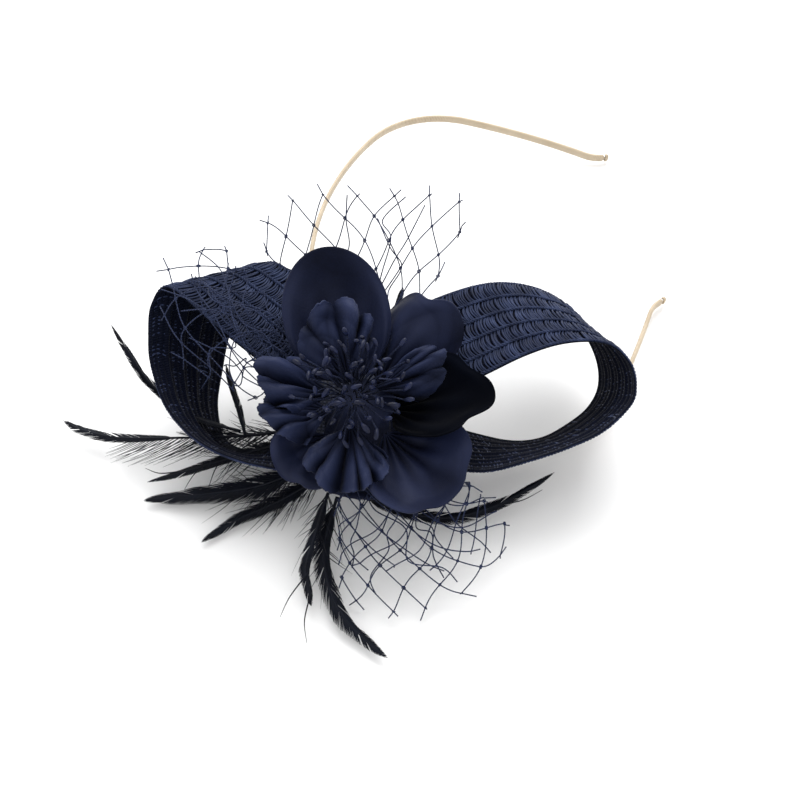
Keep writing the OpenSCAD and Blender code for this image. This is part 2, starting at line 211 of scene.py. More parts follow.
# -------- materials
class Paint:
    """A small helper that wires one procedural material."""

    def __init__(self, name, roughness, sheen=0.0, specular=0.5, coat=0.0):
        self.material = bpy.data.materials.new(name)
        self.material.use_nodes = True
        self.nodes = self.material.node_tree.nodes
        self.links = self.material.node_tree.links
        self.shader = self.nodes["Principled BSDF"]
        for socket, value in (("Roughness", roughness), ("Sheen Weight", sheen), ("Specular IOR Level", specular),
                              ("Coat Weight", coat)):
            self.shader.inputs[socket].default_value = value
        self.where = self.nodes.new("ShaderNodeTexCoord")

    def link(self, a, b):
        self.links.new(a, b)

    def noise(self, scale, detail=3.0, coordinate="Object", stretch=None):
        node = self.nodes.new("ShaderNodeTexNoise")
        node.inputs["Scale"].default_value = scale
        node.inputs["Detail"].default_value = detail
        source = self.where.outputs[coordinate]
        if stretch is not None:
            mapping = self.nodes.new("ShaderNodeMapping")
            mapping.inputs["Scale"].default_value = stretch
            self.link(source, mapping.inputs["Vector"])
            source = mapping.outputs["Vector"]
        self.link(source, node.inputs["Vector"])
        return node.outputs["Fac"]

    def split(self, vector):
        """The separate coordinates of a vector."""
        node = self.nodes.new("ShaderNodeSeparateXYZ")
        self.link(vector, node.inputs[0])
        return node.outputs

    def stripes(self, per_u, per_v, coordinate="UV"):
        """A wave from 0 to 1, with per_u waves to a unit of the first coordinate and per_v of the second."""
        parts = self.split(self.where.outputs[coordinate])
        phase = self.math("ADD", self.math("MULTIPLY", parts[0], per_u * TURN),
                          self.math("MULTIPLY", parts[1], per_v * TURN))
        return self.math("ADD", self.math("MULTIPLY", self.math("SINE", phase, 0.0), 0.5), 0.5)

    def math(self, operation, a, b):
        node = self.nodes.new("ShaderNodeMath")
        node.operation = operation
        for socket, value in zip(node.inputs, (a, b)):
            if isinstance(value, (int, float)):
                socket.default_value = value
            else:
                self.link(value, socket)
        return node.outputs[0]

    def mix(self, a, b, share):
        """A share of a and the rest of b."""
        return self.math("ADD", self.math("MULTIPLY", a, share), self.math("MULTIPLY", b, 1 - share))

    def mean(self, a, b):
        return self.math("MULTIPLY", self.math("ADD", a, b), 0.5)

    def colours(self, factor, stops):
        ramp = self.nodes.new("ShaderNodeValToRGB")
        elements = ramp.color_ramp.elements
        while len(elements) < len(stops):
            elements.new(0.5)
        for element, (place, colour) in zip(elements, stops):
            element.position = place
            element.color = (*colour, 1)
        self.link(factor, ramp.inputs["Fac"])
        self.link(ramp.outputs["Color"], self.shader.inputs["Base Color"])

    def shine(self, factor):
        self.link(factor, self.shader.inputs["Specular IOR Level"])

    def rough(self, factor, low, high):
        node = self.nodes.new("ShaderNodeMapRange")
        node.inputs["To Min"].default_value = low
        node.inputs["To Max"].default_value = high
        self.link(factor, node.inputs["Value"])
        self.link(node.outputs["Result"], self.shader.inputs["Roughness"])

    def bump(self, factor, strength, distance):
        node = self.nodes.new("ShaderNodeBump")
        node.inputs["Strength"].default_value = strength
        node.inputs["Distance"].default_value = distance
        self.link(factor, node.inputs["Height"])
        self.link(node.outputs["Normal"], self.shader.inputs["Normal"])


def cloth_paint(name, dark, light, roughness=0.6, specular=0.09, painted_shade=False):
    """Stiffened matt satin: a fine weave and soft mottling. With painted shade on, it also takes painted shade and
    highlight from the mesh's tone layer.
    """
    paint = Paint(name, roughness, 0.02, specular)
    mottle = paint.noise(90.0, 4.0)
    fine = paint.noise(2600.0, 2.0)
    threads = paint.math("MULTIPLY", paint.stripes(2.4, 0.0), paint.stripes(0.0, 2.4))
    mixed = paint.mix(mottle, fine, 0.7)
    if painted_shade:
        # Painted shade and highlight: folds and the gathered root take a darker colour and less shine, ridges and
        # rims a lighter colour and more shine.
        layer = paint.nodes.new("ShaderNodeUVMap")
        layer.uv_map = "tone"
        tone = paint.split(layer.outputs["UV"])[0]
        mixed = paint.mix(mixed, tone, 0.35)
        paint.shine(paint.math("MULTIPLY", tone, 2 * specular))
    paint.colours(mixed, [(0.2, dark), (0.8, light)])
    paint.rough(mottle, roughness - 0.08, roughness + 0.1)
    paint.bump(paint.math("ADD", threads, fine), 0.35, 0.00012)
    return paint.material


# Strands run from 0 to 1 in their second coordinate, and the inner lining from LINING_FROM up.
LINING_FROM = 2.0


def straw_paint():
    """Shiny straw with a fibre grain; the lining takes a ribbed version of it with painted shade, darker and with
    less shine.
    """
    paint = Paint("straw", 0.5, 0.02, 0.22)
    tone = paint.noise(160.0, 3.0)
    fibre = paint.noise(1.0, 3.0, "UV", (0.15, 14.0, 1.0))
    mixed = paint.mix(tone, fibre, 0.55)
    # Painted shade: the inner lining of each loop is darkened and its shine cut down.
    inner = paint.math("GREATER_THAN", paint.split(paint.where.outputs["UV"])[1], LINING_FROM - 0.5)
    mixed = paint.math("MULTIPLY", mixed, paint.math("SUBTRACT", 1.0, paint.math("MULTIPLY", inner, 0.55)))
    paint.shine(paint.math("MULTIPLY", paint.math("SUBTRACT", 1.0, paint.math("MULTIPLY", inner, 0.8)), 0.16))
    paint.colours(mixed, [(0.25, (0.0022, 0.0034, 0.010)), (0.5, (0.013, 0.0205, 0.055)),
                          (0.74, (0.048, 0.068, 0.150))])
    paint.rough(fibre, 0.4, 0.62)
    ribs = paint.math("MULTIPLY", paint.stripes(0.2, 44.0), inner)
    paint.bump(paint.math("ADD", fibre, ribs), 0.6, 0.0003)
    return paint.material


def thread_paint(name, dark, light):
    """Twisted thread: slanting ply lines along the run of each strand."""
    paint = Paint(name, 0.6, 0.02, 0.15)
    tone = paint.noise(220.0, 2.0)
    ply = paint.stripes(0.9, 1.0)
    paint.colours(paint.mix(tone, ply, 0.6), [(0.25, dark), (0.75, light)])
    paint.bump(ply, 0.4, 0.0001)
    return paint.material


def satin_paint():
    """Satin ribbon wound round the band: fine slanting turns with a soft shine."""
    paint = Paint("satin", 0.42, 0.2, 0.5)
    turns = paint.stripes(1.5, 3.0)
    threads = paint.noise(4200.0, 2.0)
    tone = paint.noise(120.0, 3.0)
    paint.colours(paint.mix(turns, tone, 0.5), [(0.2, (0.36, 0.27, 0.17)), (0.55, (0.52, 0.42, 0.29)),
                                                (0.85, (0.68, 0.58, 0.44))])
    paint.rough(turns, 0.36, 0.5)
    paint.bump(paint.math("ADD", turns, paint.math("MULTIPLY", threads, 0.5)), 0.4, 0.00015)
    return paint.material


def feather_paint():
    paint = Paint("feather", 0.5, 0.0, 0.16)
    streak = paint.noise(1.0, 3.0, "UV", (0.3, 5.0, 1.0))
    tone = paint.noise(130.0, 3.0)
    paint.colours(paint.mean(streak, tone),
                  [(0.3, (0.0015, 0.002, 0.0045)), (0.75, (0.006, 0.0085, 0.018))])
    paint.rough(streak, 0.4, 0.62)
    paint.bump(streak, 0.3, 0.0001)
    return paint.material


def bead_paint():
    paint = Paint("stamen_bead", 0.34, 0.0, 0.2, 0.04)
    tone = paint.noise(300.0, 3.0)
    paint.colours(tone, [(0.3, (0.0022, 0.0034, 0.013)), (0.75, (0.011, 0.0165, 0.054))])
    paint.rough(tone, 0.26, 0.46)
    paint.bump(paint.noise(1500.0, 2.0), 0.2, 0.0001)
    return paint.material


def felt_paint():
    paint = Paint("felt", 0.9, 0.1, 0.1)
    fuzz = paint.noise(1800.0, 5.0)
    tone = paint.noise(150.0, 3.0)
    paint.colours(paint.mean(fuzz, tone),
                  [(0.3, (0.006, 0.009, 0.022)), (0.7, (0.024, 0.032, 0.065))])
    paint.rough(tone, 0.84, 0.96)
    paint.bump(fuzz, 0.7, 0.0004)
    return paint.material


def weave_paint():
    paint = Paint("buckram", 0.75, 0.2, 0.25)
    squares = paint.math("MULTIPLY", paint.stripes(700.0, 0.0, "Object"), paint.stripes(0.0, 700.0, "Object"))
    tone = paint.noise(200.0, 3.0)
    paint.colours(paint.mean(squares, tone),
                  [(0.2, (0.006, 0.009, 0.024)), (0.7, (0.035, 0.046, 0.095))])
    paint.bump(squares, 0.7, 0.0003)
    return paint.material


def steel_paint():
    paint = Paint("steel", 0.32, 0.0, 0.5)
    paint.shader.inputs["Metallic"].default_value = 1.0
    brushed = paint.noise(900.0, 3.0, "Object", (0.1, 1.0, 1.0))
    paint.colours(brushed, [(0.3, (0.42, 0.42, 0.44)), (0.7, (0.62, 0.62, 0.64))])
    paint.rough(brushed, 0.26, 0.42)
    paint.bump(brushed, 0.15, 0.0001)
    return paint.material


STRAW = straw_paint()
PETAL = cloth_paint("petal_satin", (0.0005, 0.0007, 0.0024), (0.0125, 0.0185, 0.056), 0.5, 0.1, painted_shade=True)
# Painted shade: a darker, duller copy of the petal satin for the right side petal, which lies in shade.
SHADE = cloth_paint("petal_shaded", (0.0003, 0.0004, 0.0009), (0.0014, 0.0021, 0.0052), 0.8, 0.01, painted_shade=True)
RUFFLE = cloth_paint("ruffle_satin", (0.0006, 0.0009, 0.003), (0.0145, 0.0218, 0.064), 0.54, 0.1, painted_shade=True)
HIDDEN_NAVY = (0.0016, 0.0024, 0.0085), (0.0078, 0.0118, 0.036)
BINDING = cloth_paint("binding_satin", *HIDDEN_NAVY)
CUP = cloth_paint("cup_satin", *HIDDEN_NAVY)
THREAD = thread_paint("thread", (0.002, 0.003, 0.010), (0.012, 0.018, 0.050))
NET = thread_paint("net_thread", (0.006, 0.009, 0.028), (0.03, 0.042, 0.095))
SATIN = satin_paint()
FEATHER = feather_paint()
BEAD = bead_paint()
FELT = felt_paint()
BUCKRAM = weave_paint()
STEEL = steel_paint()


# -------- straw loops
STRIP_WIDTH = 33.0
ROWS = 5
LOOPS = {
    "left": (
        [[-32, -23, 33], [-46, -13, 41], [-62, -1, 46], [-78, 13, 48], [-84, 9, 44], [-85, 0, 38], [-84, -9, 33],
         [-78, -24, 30], [-67, -36, 28], [-53, -43, 27], [-38, -46, 26]],
        [[-17, 5, 36], [-30, 14, 43], [-40, 23, 46], [-48, 27, 44], [-53, 24, 33], [-58, 18, 20], [-62, 9, 10],
         [-65, -5, 3], [-62, -18, 0], [-52, -24, 2], [-37, -20, 8]]),
    "right": (
        [[10, -22, 33], [27, -17, 39], [41, -11, 42], [53, -7, 43], [64, -6, 43], [72, -8, 42], [77, -14, 40],
         [78, -21, 38], [76, -27, 36], [67, -35, 33], [56, -40, 31], [43, -44, 29], [28, -47, 27], [12, -44, 25]],
        [[0, 8, 38], [17, 14, 43], [32, 20, 41], [46, 24, 35], [57, 24, 28], [65, 18, 20], [70, 9, 13], [70, 0, 8],
         [65, -7, 4], [57, -12, 1], [48, -17, 0], [37, -18, 1], [22, -15, 5], [9, -13, 9]]),
}
STRAND_PITCH, STRAND_WIDE, STRAND_THICK = 0.7, 0.36, 0.32
# How far a strand bows along the row, and stands above or below its neighbours.
STRAND_BOW, STRAND_STEP = 1.8, 0.13
# A row's rise in its middle, its rise from one edge to the other, and how much of its width it laps over the next.
ROW_CROWN, ROW_TILT, ROW_LAP = 0.55, 0.6, 0.06
LINING_DROP, LINING_RIB, LINING_THICK = 0.42, 0.16, 0.12
EDGE_RADIUS, EDGE_PITCH = 0.36, 2.3


def strip_frame(upper, lower):
    """Lines along a loop's near rim with the direction across the strip and out of its face."""
    near, far = curve(upper, 16), curve(lower, 16)
    across = unit(far - near)
    along = unit(tangents(near) + tangents(far))
    out = unit(np.cross(along, across))
    middle = (near + far) / 2
    outward = np.sign(np.sum(out * (middle - middle.mean(axis=0))))
    return near, across, out * outward


def rope(shape, line, out, radius, pitch, phase=0.0):
    """A two-ply twisted cord along a line."""
    run = arc_length(line)
    steps = max(int(run[-1] / (pitch / 7)), 8)
    at = np.linspace(0, run[-1], steps)
    middle = sample(line, run, at)
    normal = unit(sample(out, run, at))
    side = unit(np.cross(tangents(middle), normal))
    for ply in (0, math.pi):
        angle = TURN * at / pitch + ply + phase
        offset = normal * np.cos(angle)[:, None] * 0.75 + side * np.sin(angle)[:, None]
        shape.tube(middle + offset * radius * 0.85, radius, 5)


def straw_row(side, number):
    """One plaited row of a loop: bowed strands across it, a lining inside and a cord along its edge."""
    near, across, out = strip_frame(*LOOPS[side])
    shape = Shape()
    low, high = (number - 1) / ROWS * STRIP_WIDTH, number / ROWS * STRIP_WIDTH
    middle = near + across * (low + high) / 2
    run = arc_length(middle)
    along = tangents(middle)
    count = int(run[-1] / STRAND_PITCH)
    t = np.linspace(0, 1, 9)
    bow = STRAND_BOW * (1 - (2 * t - 1) ** 2)
    for i in range(count):
        at = (i + 0.5) * run[-1] / count + rng.normal(0, 0.13)
        lean = rng.normal(0, 0.4)
        root, way, up, ahead = (sample(a, run, np.array([at]))[0] for a in (near, across, out, along))
        lift = ROW_CROWN * np.sin(math.pi * t) + ROW_TILT * (0.5 - t) + (STRAND_STEP if i % 2 else -STRAND_STEP)
        lift = lift + rng.normal(0, 0.11)
        place = (root + way * (low + (high - low) * (t * (1 + 2 * ROW_LAP) - ROW_LAP))[:, None]
                 - ahead * (bow * (1 + rng.normal(0, 0.12)) + lean * (2 * t - 1))[:, None] * 0.8 + up * lift[:, None])
        wide = STRAND_WIDE * (1 + rng.normal(0, 0.09)) * (1 - 0.2 * (2 * t - 1) ** 2)
        shape.tube(place, wide, 6, across=np.broadcast_to(ahead, place.shape), flat=STRAND_THICK / STRAND_WIDE,
                   start=rng.uniform(0, 60))
    # A ridged inner lining closes the row from inside.
    share = np.linspace(-0.14, 1.14, 25)
    across_row = low + (high - low) * share
    rise = ROW_CROWN * np.sin(math.pi * np.clip(share, 0, 1)) + ROW_TILT * (0.5 - share)
    rise = rise - LINING_DROP - LINING_RIB * np.cos(TURN * 3 * share)
    lining = near[:, None] + across[:, None] * across_row[None, :, None] + out[:, None] * rise[None, :, None]
    uv = np.broadcast_arrays(across_row[None, :], LINING_FROM + arc_length(near)[:, None] / 40)
    shape.sheet(lining, np.broadcast_to(out[:, None], lining.shape), LINING_THICK, np.stack(uv, axis=-1))
    for place, lift in [(low, ROW_TILT / 2 + 0.12)] + ([(high, -0.2)] if number == ROWS else []):
        edge = near + across * place + out * lift
        rope(shape, edge, out, EDGE_RADIUS, EDGE_PITCH, rng.uniform(0, 6))
    shape.build(f"straw_{side}_{number}", STRAW, "straw_braid", (f"{side}_braid_{number}",))


for loop_side in LOOPS:
    for row_number in range(1, ROWS + 1):
        straw_row(loop_side, row_number)


# -------- petals
def waviness(seed, u, v, size):
    """Soft seeded hollows over a petal."""
    r = np.random.default_rng(seed)
    total = np.zeros_like(u)
    for _ in range(5):
        a, b = r.uniform(1.0, 3.4, 2)
        total += (r.uniform(0.4, 1.0) * np.sin(a * math.pi * u + r.uniform(0, 6))
                  * np.sin(b * math.pi * v + r.uniform(0, 6)))
    return total * size / 3


def surface_area(points):
    """Area of a grid of points, each cell taken as two triangles."""
    a, b, c, d = points[:-1, :-1], points[:-1, 1:], points[1:, 1:], points[1:, :-1]
    halves = np.cross(b - a, c - a), np.cross(c - a, d - a)
    return 0.5 * sum(np.linalg.norm(half, axis=-1).sum() for half in halves)


def eased(values, times):
    """Values over a petal, evened out across it."""
    for _ in range(times):
        values = (values + np.roll(values, 1, axis=1) + np.roll(values, -1, axis=1)) / 3
    return values


def fan_radius(reach, u, v, warp, fold, uneven, pinked, r):
    """Distance from the root over a fan with scallops and a pinked rim."""
    radius = reach * (1 - 0.2 * v ** 2) * (1 - 0.17 * (1 - fold ** 0.6) * u ** 2) * (0.93 + 0.09 * uneven)
    teeth = np.abs(np.sin(pinked * math.pi * (warp + 1) / 2)) - 0.5 + r.normal(0, 0.3, (1, v.shape[1]))
    return radius * (1 + 0.016 * teeth * smooth((u - 0.8) / 0.2))


def oval_radius(half_long, half_wide, u, v, turn, r):
    """Distance from the root over an oval that has its root on the rim."""
    radius = 2 * half_long * half_wide ** 2 * np.cos(turn) / (
        (half_wide * np.cos(turn)) ** 2 + (half_long * np.sin(turn)) ** 2)
    return radius * (1 + 0.015 * np.sin(6 * v + r.uniform(0, 6)) * u ** 3)


def crumpled(z, u, v, depth, r):
    """Heights with sharp creases added in all directions."""
    for _ in range(7):
        a, b = r.uniform(-1.0, 1.0), r.uniform(0, math.pi)
        z = z + depth * r.uniform(0.5, 1.0) * (np.abs(np.sin(
            r.uniform(2.2, 4.5) * (v * math.cos(b) + u * math.sin(b)) + a)) - 0.6) * smooth(u * 1.6)
    return z


def flat_sheet(middle, x, y):
    """Width, length and area of a petal laid flat: let out lengthwise by its middle line, and the rest across."""
    area = surface_area(middle)
    let_out = area / surface_area(np.stack([x, y, 0 * x], axis=-1))
    centre = x.shape[1] // 2
    lengthwise = arc_length(middle[:, centre])[-1] / np.ptp(x[:, centre])
    width = np.ptp(y) * let_out / lengthwise
    length = x.max() * lengthwise
    return (float(width) * MM, float(length) * MM), float(area) * MM * MM


CLOTH_THICK = 0.42
PETAL_ROWS, PETAL_COLUMNS = 56, 121
# Half the angle that a fan and an oval spread over at the root.
FAN_SPREAD, OVAL_SPREAD = 64, 74


def petal(name, node, root, tip, width, cup, curl, seed, roll=0, ruffle=0.0, scallops=0, pinked=0, lobes=(),
          edge_curl=1.6, pleats=0.7, side_fold=0.0, crumple=0.0, slot="petal_cloth", material=PETAL):
    """A cloth petal that spreads from its root: an oval, or a scalloped fan when scallops are given."""
    root, tip = np.array(root, float), np.array(tip, float)
    reach = np.linalg.norm(tip - root)
    forward = unit(tip - root)
    level = unit(np.cross(UP, forward))
    upright = np.cross(forward, level)
    side = level * math.cos(math.radians(roll)) + upright * math.sin(math.radians(roll))
    face = np.cross(forward, side)
    u, v = np.meshgrid(np.linspace(0.02, 1, PETAL_ROWS), np.linspace(-1, 1, PETAL_COLUMNS), indexing="ij")
    r = np.random.default_rng(seed)

    # Outline: distances from the root, over the turn to either side.
    turn = v * math.radians(FAN_SPREAD if scallops else OVAL_SPREAD)
    warp = v + 0.1 * np.sin(3.1 * v + seed) + 0.05 * np.sin(7.3 * v + 2 * seed)
    fold = np.abs(np.sin(scallops * math.pi * (warp + 1) / 2))
    uneven = 0.75 + 0.3 * np.sin(2.3 * scallops * warp + seed)
    if scallops:
        radius = fan_radius(reach, u, v, warp, fold, uneven, pinked, r)
    else:
        radius = oval_radius(reach / 2, width / 2, u, v, turn, r)
    for place, deep in lobes:
        radius = radius * (1 - deep * np.exp(-((v - place) / 0.11) ** 2) * u ** 4)
    x = u * radius * np.cos(turn)
    y = u * radius * np.sin(turn)
    y = y * (width / 2) / np.abs(y).max()

    # Height: cup and curl, ruffles, pleats at the root, soft hollows, creases, a turned rim and a folded side.
    z = cup * (y / (width / 2)) ** 2 + curl * (u ** 2 - u)
    z = z + ruffle * u ** 1.5 * (fold - 0.6) * (0.5 + uneven) * (1 + 0.35 * np.sin(5 * u + 3 * v))
    z = z + pleats * (1 - u) ** 1.5 * np.cos(math.pi * 7 * v)
    z = z + waviness(seed, u, v, 1.7) * u
    if crumple:
        z = crumpled(z, u, v, crumple, r)
    z = z - edge_curl * smooth((u - 0.8) / 0.2) ** 2 * (1 + 0.5 * np.sin(4 * v + seed))
    if side_fold:
        folded = smooth((np.sign(side_fold) * v - 0.2) / 0.8) ** 2
        z = z + abs(side_fold) * folded * u
        y = y - side_fold * 0.55 * folded * u
    middle = root + x[..., None] * forward + y[..., None] * side + z[..., None] * face
    normal = unit(np.cross(np.gradient(middle, axis=0), np.gradient(middle, axis=1)))

    # Painted shade and highlight on the cloth: darker in the hollows and by the root, lighter on the ridges and along
    # the rim, with a soft variation across the petal.
    tone = 0.5 + 0.42 * np.tanh((z - eased(z, 60)) / 0.8) + 0.1 * smooth((u - 0.9) / 0.1)
    tone = np.clip(tone * (0.25 + 0.75 * smooth((u - 0.1) / 0.55)) * (1 + 0.3 * np.sin(2.3 * v + seed) * u), 0, 1)
    shape = Shape()
    shape.sheet(middle, normal, CLOTH_THICK, np.stack([x, y], axis=-1))
    both = np.concatenate([tone, tone[:, ::-1]], axis=1).ravel()
    piece = shape.build(name, material, slot, (node,), tone=both)
    return piece, *flat_sheet(middle, x, y)


PETALS = [
    dict(name="petal_back", node="petal_top", root=[-18, -19, 37], tip=[-24.5, 18, 63], width=36, cup=6, curl=5,
         seed=11, edge_curl=2.2, crumple=0.4),
    dict(name="petal_back_right", node="petal_upper_right", root=[-7, -20, 38], tip=[15, 1, 58], width=31, roll=10,
         cup=-6, curl=8, seed=12, lobes=((0.1, 0.1), (-0.45, 0.06)), side_fold=-12, crumple=1.8),
    # The right side petal takes the painted-shade copy of the petal satin.
    dict(name="petal_side_right", node="petal_right", root=[-4, -29, 36], tip=[31, -29, 46], width=33, cup=6,
         curl=6, seed=13, lobes=((-0.28, 0.1), (0.3, 0.08)), material=SHADE, crumple=0.7),
    dict(name="petal_front_right", node="petal_lower_right", root=[-5, -38, 35], tip=[16, -61, 31], width=39,
         cup=5, curl=6, seed=14, lobes=((-0.2, 0.05), (0.35, 0.04)), crumple=0.8),
    dict(name="petal_front_left", node="petal_lower_left", root=[-23, -38, 34], tip=[-36, -54, 31], width=28,
         cup=4, curl=4, seed=15, lobes=((0.1, 0.06),), crumple=0.6),
]
RUFFLES = [
    dict(name="ruffle_back", node="ruffle_top", root=[-17, -23, 44], tip=[-23, -5, 66], width=27, cup=-3,
         curl=5, seed=21, ruffle=3.8, scallops=4, pinked=17),
    dict(name="ruffle_left_high", node="ruffle_left_upper", root=[-23, -27, 42], tip=[-47, -25, 54], width=23,
         cup=-3, curl=5, seed=22, ruffle=3.8, scallops=4, pinked=15),
    dict(name="ruffle_left_low", node="ruffle_left_lower", root=[-23, -33, 41], tip=[-46, -38, 49], width=21,
         cup=-3, curl=5, seed=23, ruffle=3.6, scallops=3, pinked=14),
    dict(name="ruffle_front", node="ruffle_bottom", root=[-16, -38, 41], tip=[-18, -65, 42], width=29, cup=-3,
         curl=6, seed=24, ruffle=4.0, scallops=5, pinked=18),
    dict(name="ruffle_side_right", node="ruffle_right", root=[-7, -26, 43], tip=[15, -21, 57], width=17, roll=20,
         cup=-5, curl=5, seed=25, ruffle=3.2, scallops=3, pinked=13, side_fold=5),
]
for settings in PETALS:
    petal(**settings)
for settings in RUFFLES:
    petal(**settings, slot="ruffle_cloth", material=RUFFLE, edge_curl=1.8, pleats=0.6, crumple=1.7)


# -------- flower middle
def turned(x_degrees, y_degrees):
    a, b = math.radians(x_degrees), math.radians(y_degrees)
    about_x = np.array([[1, 0, 0], [0, math.cos(a), -math.sin(a)], [0, math.sin(a), math.cos(a)]])
    about_y = np.array([[math.cos(b), 0, math.sin(b)], [0, 1, 0], [-math.sin(b), 0, math.cos(b)]])
    return about_y @ about_x


FLOWER_MIDDLE = np.array([-15.0, -29.0, 45.0])
FLOWER_TURN = turned(24, 2)
STAMENS, STAMEN_SPREAD, STAMEN_HEIGHT = 72, 18.0, 17.0
# The golden angle spreads the stamens evenly, and their roots stand closer together than their heads.
GOLDEN_DEGREES, ROOT_SHARE = 137.5, 0.3
STALK_RADIUS, BEAD_RADIUS, BEAD_LENGTH = 0.27, 0.9, 3.8


def stamens():
    """A domed bunch of stalks, each with a long bead on its end that points its own way."""
    threads, heads = Shape(), Shape()
    for i in range(STAMENS):
        radius = STAMEN_SPREAD * math.sqrt((i + 0.5) / STAMENS) * (1 + rng.normal(0, 0.03))
        angle = math.radians(GOLDEN_DEGREES) * i + rng.normal(0, 0.06)
        height = STAMEN_HEIGHT - 5 * (radius / STAMEN_SPREAD) ** 2 + 2 * math.sin(5 * angle) + rng.normal(0, 1.0)
        head = np.array([radius * math.cos(angle), radius * math.sin(angle), height])
        head[:2] += rng.normal(0, 1.5, 2)
        root = np.array([head[0] * ROOT_SHARE, head[1] * ROOT_SHARE, 0])
        bend = np.array([head[0] * 0.6, head[1] * 0.6, height * 0.65]) + rng.normal(0, 0.8, 3)
        line = curve([root, bend, head], 6)
        line = FLOWER_MIDDLE + line @ FLOWER_TURN.T
        threads.tube(line, STALK_RADIUS, 6, start=rng.uniform(0, 30))
        way = unit(0.6 * unit(line[-1] - line[-3]) + rng.normal(0, 0.55, 3) * np.array([1, 1, 0.6]))
        t = np.linspace(0, 1, 10)
        size = BEAD_RADIUS * (1 + rng.normal(0, 0.1))
        profile = size * np.sqrt(np.clip(np.sin(math.pi * (0.06 + 0.9 * t)), 0, 1)) * (0.62 + 0.38 * t)
        bead = line[-1] - way * 0.4 + way * (t * BEAD_LENGTH * size)[:, None]
        heads.tube(bead, profile, 12)
    threads.build("stamen_stalks", THREAD, "stamen_thread", ("stamen_threads",))
    heads.build("stamen_tips", BEAD, "stamen_head", ("stamen_heads",))


stamens()


# -------- feathers
# Where a feather's blade ends, as a share of its shaft, and the half width of a split in it.
BLADE_END, SPLIT_HALF = 0.985, 0.0035


def feather(name, node, points, width, lean, left=1.0, right=1.0, spacing=0.22, angle=64, splits=5, thick=0.17,
            blade_from=0.0, comb=(), spurs=(), down=0, narrow_root=0.25):
    """A shaft with close barbs that sweep to the tip, an open comb of barbs, loose spurs and down at the root."""
    line = curve(points, 14)
    run = arc_length(line)
    along = tangents(line)
    level = unit(np.cross(UP, along))
    raised = np.cross(along, level)
    lean = math.radians(lean)
    side = level * math.cos(lean) + raised * math.sin(lean)
    normal = np.cross(along, side)
    r = np.random.default_rng(sum(map(ord, name)))
    shape = Shape()
    length = run[-1]
    shape.tube(line, np.interp(run / length, [0, 0.6, 1], [0.6, 0.36, 0.1]), 8)

    def barb(part, flip, reach, slant, thickness, bend=0.16, sag=0.0):
        at = np.array([np.clip(part, 0, 1) * length])
        base, ahead, out, up = (sample(a, run, at)[0] for a in (line, along, side * flip, normal))
        t = np.linspace(0, 1, 7)[:, None]
        way = out * math.cos(slant) + ahead * math.sin(slant)
        place = base + way * reach * t + ahead * reach * bend * t ** 2 + up * reach * sag * t ** 1.5
        shape.tube(place, thickness * (1 - 0.8 * t[:, 0] ** 2), 3, across=np.broadcast_to(ahead, place.shape),
                   flat=0.5, start=r.uniform(0, 30))

    for flip, share in ((1, left), (-1, right)):
        gaps = r.uniform(blade_from + 0.1, 0.92, splits)
        first = max(blade_from, 0.05)
        count = int(length * (BLADE_END - first) / spacing)
        for i in range(count):
            part = first + (BLADE_END - first) * i / count + r.normal(0, 0.0015)
            if np.abs(part - gaps).min() < SPLIT_HALF:
                continue
            swell = math.sin(math.pi * min(1, narrow_root + (1 - narrow_root) * (part - first) / (1 - first))) ** 0.7
            swell = max(swell, 0.75 * (1 - narrow_root)) if part < 0.5 else swell
            slant = math.radians(angle + 3 * math.sin(17 * part + flip)) + r.normal(0, 0.012)
            reach = width / 2 * share * swell / math.cos(slant) * (1 + r.normal(0, 0.02))
            room = (1.0 - part) * length / (math.sin(slant) + 0.16) + 0.6
            lock = 0.05 * math.sin(5 * np.searchsorted(np.sort(gaps), part) + flip)
            fine = thick * min(1.0, 0.3 + room / 9)
            barb(part, flip, min(reach, room), slant + lock, fine, sag=0.06 * math.sin(6 * part) + r.normal(0, 0.01))
    for flip, low, high, reach, tilt in comb:
        for part in np.arange(low, high, 1.1 / length):
            swell = 0.55 + 0.45 * math.sin(math.pi * (part - low) / (high - low))
            barb(part + r.normal(0, 0.003), flip, reach * swell * (1 + r.normal(0, 0.1)),
                 math.radians(tilt) + r.normal(0, 0.06), 0.23, bend=0.4, sag=r.normal(-0.05, 0.06))
    for _ in range(down):
        barb(r.uniform(0.0, 0.4), r.choice([-1, 1]), r.uniform(6, 16), math.radians(r.uniform(35, 74)), 0.2,
             bend=r.uniform(-0.1, 0.4), sag=r.normal(0.0, 0.12))
    for spur in spurs:
        shape.tube(curve(spur, 8), np.linspace(0.32, 0.07, 8 * (len(spur) - 1) + 1), 5)
    shape.build(name, FEATHER, "feather", (node,))


